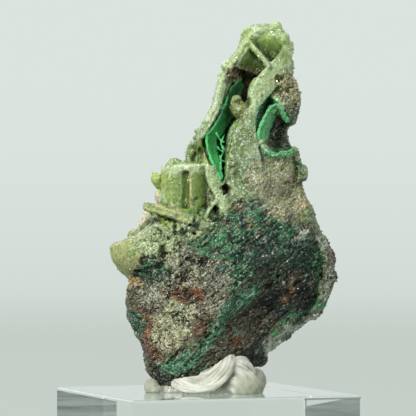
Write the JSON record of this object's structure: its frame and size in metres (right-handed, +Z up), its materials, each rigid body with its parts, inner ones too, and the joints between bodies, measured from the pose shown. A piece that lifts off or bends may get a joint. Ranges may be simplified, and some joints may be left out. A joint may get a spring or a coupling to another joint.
{
  "type": "mounted mineral specimen",
  "caption": "Upright natural mineral specimen, drusy green boxwork over dark rough rock, held by putty on a square clear acrylic display block.",
  "frame": {"origin": "centre of the acrylic block's underside", "axes": "+Z up; +X and +Y square to the block's upright faces, with the specimen's best side turned 20.5 degrees towards the corner at -X and -Y from the face at -Y"},
  "size_m": [0.0531, 0.0508, 0.1042],
  "materials": {
    "stone": "rough, with sparkling druse",
    "malachite": "velvety",
    "putty": "matt, smeared",
    "acrylic": "polished clear acrylic"
  },
  "bodies": {
    "root": {"specimen": "stone", "malachite_left_cleft": "malachite", "malachite_right_hollow": "malachite", "putty": "putty", "acrylic_block": "acrylic"}
  },
  "joints": []
}
